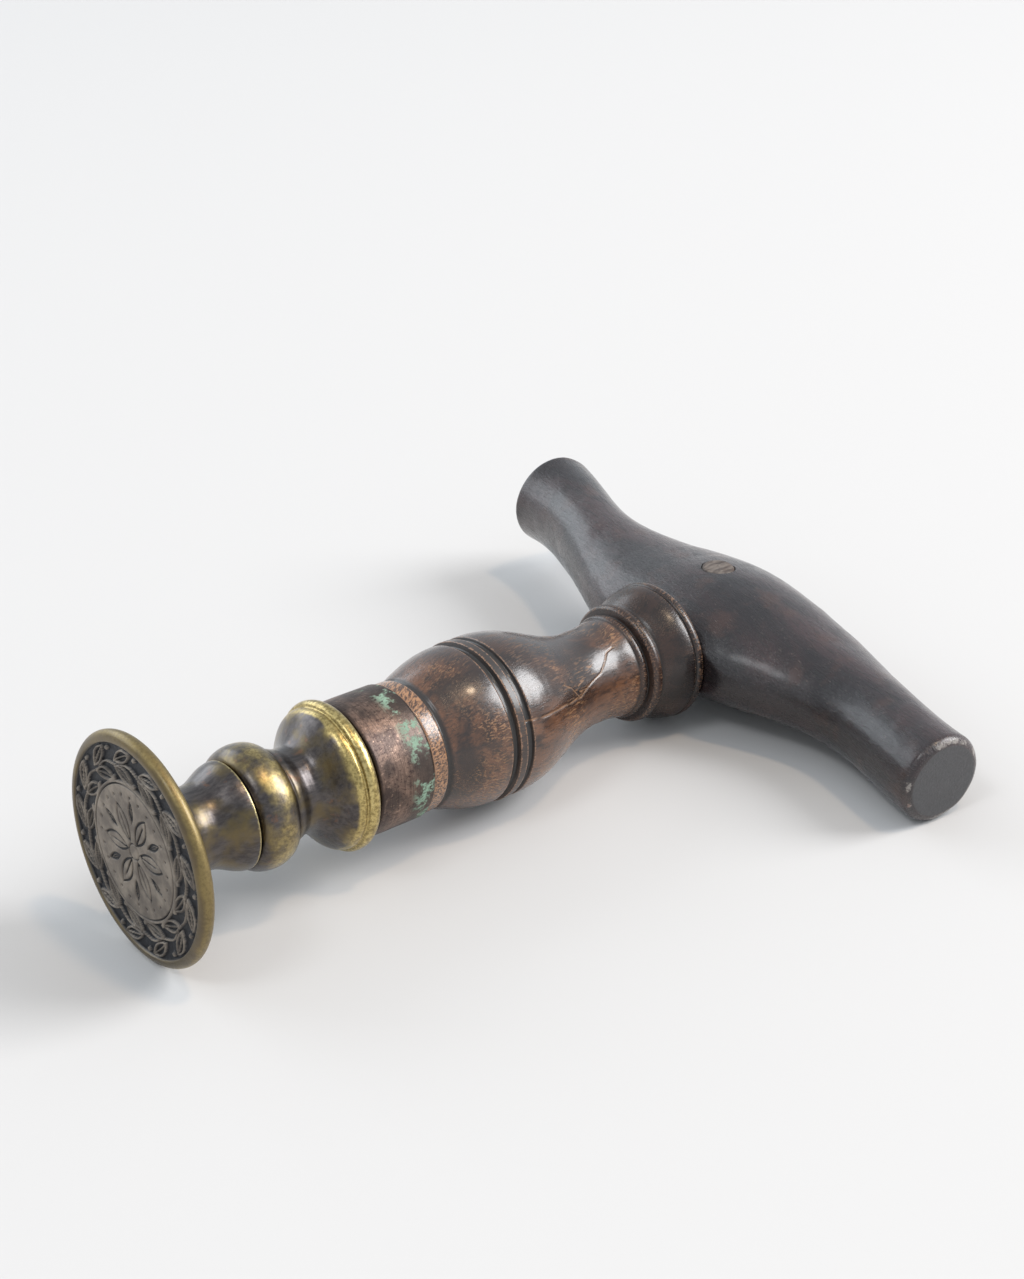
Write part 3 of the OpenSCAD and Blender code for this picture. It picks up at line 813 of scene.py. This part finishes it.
def drop_at(y):
    """How far the handle reaches below its centre line."""
    return arm_at(y) + (BELLY_UNDER - ARM_R) * np.exp(-((y - 4) / 15.5) ** 2)


def handle():
    around = 192
    # each station is (distance, worn edge's shrink, share of the radius, share of the edge worn away)
    turn = np.linspace(0, math.pi / 2, 9)
    low = [(LOW_EDGE * (1 - math.cos(a)), 1 - math.sin(a)) for a in turn]
    high = [(HIGH_EDGE * (1 - math.cos(a)), 1 - math.sin(a)) for a in turn]
    flat = np.linspace(0, 1, 12)[:-1]
    between = np.arange(-LOW_ARM + LOW_EDGE + 0.5, HIGH_ARM - HIGH_EDGE - 0.2, 0.5)
    stations = ([(-LOW_ARM, LOW_EDGE, share, 1) for share in flat]
                + [(-LOW_ARM + step, LOW_EDGE * worn, 1, worn) for step, worn in low]
                + [(y, 0, 1, 0) for y in between]
                + [(HIGH_ARM - step, HIGH_EDGE * worn, 1, worn) for step, worn in high[::-1]]
                + [(HIGH_ARM, HIGH_EDGE, share, 1) for share in flat[::-1]])
    angle = np.linspace(0, 2 * math.pi, around, endpoint=False)
    y, shrink, t, worn = (np.array(v, float)[:, None] for v in zip(*stations))
    a = angle[None, :]
    # wrinkles of hand work: the surface wanders a little along the arms and round them
    wander = 0.12 * np.minimum(ripple(y, a, longest=40, seed=41), 0)
    x = bow_at(y) + (depth_at(y) - shrink + wander) * t * np.cos(a)
    half = np.where(np.sin(a) > 0, rise_at(y), drop_at(y))
    z = (half - shrink + wander) * t * np.sin(a)
    verts = np.stack([x, np.broadcast_to(y, x.shape), z], -1).reshape(-1, 3)
    # the seat for the collar is flat and square to the stem, and blends into the belly round it
    seat_r, blend_r = 11.5, 17
    c, s = math.cos(SKEW), math.sin(SKEW)
    along = verts[:, 0] * c + verts[:, 1] * s + HANDLE_AT
    across = -verts[:, 0] * s + verts[:, 1] * c
    reach = np.hypot(across, verts[:, 2])
    cut = np.maximum(COLLAR_END + 0.05 - along, 0) * ramp(reach, blend_r, seat_r)
    verts[:, 0] += cut * c
    verts[:, 1] += cut * s
    end_edge = np.broadcast_to(np.clip(4 * worn * (1 - worn), 0, 1), x.shape).ravel()
    flat_end = np.broadcast_to((worn > 0.97).astype(float), x.shape).ravel()
    attributes = {"edge": end_edge, "end": flat_end}
    piece = new_piece("handle_wood", verts, tube_faces(len(stations), around), attributes, handle_wood(),
                      "grip", "handle", HANDLE)
    bore(piece, PEG_R + 0.12, 3 * BELLY_RISE, PEG)
    tenon_middle = Matrix.Translation(((COLLAR_END + TENON_END) / 2 * MM, 0, 0))
    bore(piece, TENON_R + 0.05, TENON_END - COLLAR_END + 2,
         STEM @ tenon_middle @ Matrix.Rotation(math.pi / 2, 4, "Y"))


def handle_peg():
    half = BELLY_RISE - 0.1
    inner = [(r, half - 0.1 * (r / PEG_R) ** 2) for r in np.linspace(0, PEG_R - 0.2, 14)]
    top = inner + [(PEG_R - 0.05, half - 0.25), (PEG_R, half - 0.45)]
    outline = [(-z, r) for r, z in top] + [(z, r) for r, z in top[::-1]]
    verts, faces, _, angle = lathe(even_steps(outline, 0.25), 96)
    height = verts[:, 0].copy()
    rough_end = 0.05 * (1 + ripple(np.hypot(verts[:, 1], verts[:, 2]), angle, longest=4, seed=51))
    verts[:, 0] -= np.sign(height) * rough_end * (abs(height) > half - 0.5)
    upright = PEG @ Matrix.Rotation(-math.pi / 2, 4, "Y")
    new_piece("handle_peg_wood", verts, faces, {}, peg_wood(), "grip", "handle_peg", upright)


# ---------------------------------------------------------------- stage

def floor():
    s = Shader("paper_white")
    s.surface(Base_Color=rgb(202, 201, 200), Roughness=0.9)
    mesh = bpy.data.meshes.new("floor")
    half, z = 3.0, cad_box[0][2]
    corners = [(-half, -half, z), (half, -half, z), (half, half, z), (-half, half, z)]
    mesh.from_pydata(corners, [], [(0, 1, 2, 3)])
    mesh.materials.append(s.material)
    plane = bpy.data.objects.new("floor", mesh)
    bpy.context.scene.collection.objects.link(plane)


def area_light(name, azimuth, elevation, distance, size, power, colour):
    """A soft light that faces the object. Azimuth is from +X towards +Y, in degrees."""
    lamp = bpy.data.lights.new(name, "AREA")
    lamp.shape = "RECTANGLE"
    lamp.size, lamp.size_y = size
    lamp.energy = power
    lamp.color = colour
    a, e = math.radians(azimuth), math.radians(elevation)
    way = Vector((math.cos(a) * math.cos(e), math.sin(a) * math.cos(e), math.sin(e)))
    light = bpy.data.objects.new(name, lamp)
    bpy.context.scene.collection.objects.link(light)
    light.matrix_world = Matrix.Translation(way * distance) @ way.to_track_quat("Z", "Y").to_matrix().to_4x4()


def lights():
    area_light("window", -36, 34, 2.4, (1.12, 1.33), 57.0, (0.97, 0.97, 0.98))
    area_light("back_window", 105, 27, 2.4, (2.2, 1.2), 20.0, (0.88, 0.94, 1.0))
    area_light("side_window", 186, 56, 2.4, (0.7, 0.5), 9.0, (0.94, 0.97, 1.0))
    area_light("lamp", -55, 68, 2.4, (0.22, 0.22), 10.0, (1.0, 0.74, 0.5))
    world = bpy.data.worlds.new("room")
    bpy.context.scene.world = world
    world.use_nodes = True
    background = world.node_tree.nodes["Background"]
    background.inputs["Color"].default_value = (0.88, 0.94, 1.0, 1)
    background.inputs["Strength"].default_value = 0.72
    bpy.context.scene.view_settings.view_transform = "Standard"


def camera():
    """The view from in front of the seal's face, set in the frame of a stem whose handle is rolled by
    handle_roll, so that the object looks the same however it comes to rest on the desk."""
    place = Vector((-115.06, -206.40, 150.72)) * MM
    aim = Vector((78.7, 16.2, 0.0)) * MM
    roll, handle_roll = math.radians(1.45), math.radians(2.2)
    data = bpy.data.cameras.new("camera")
    data.lens, data.sensor_width = 59.1, 36.0
    data.clip_start = 0.01
    cam = bpy.data.objects.new("camera", data)
    bpy.context.scene.collection.objects.link(cam)
    look = (aim - place).to_track_quat("-Z", "Y").to_matrix().to_4x4()
    held = ROLLED @ Matrix.Rotation(-handle_roll, 4, "X")
    cam.matrix_world = held @ Matrix.Translation(place) @ look @ Matrix.Rotation(roll, 4, "Z")
    bpy.context.scene.camera = cam


camera()
lights()
floor()
seal_head()
seal_tang()
washer()
ferrule()
stem()
handle()
handle_peg()
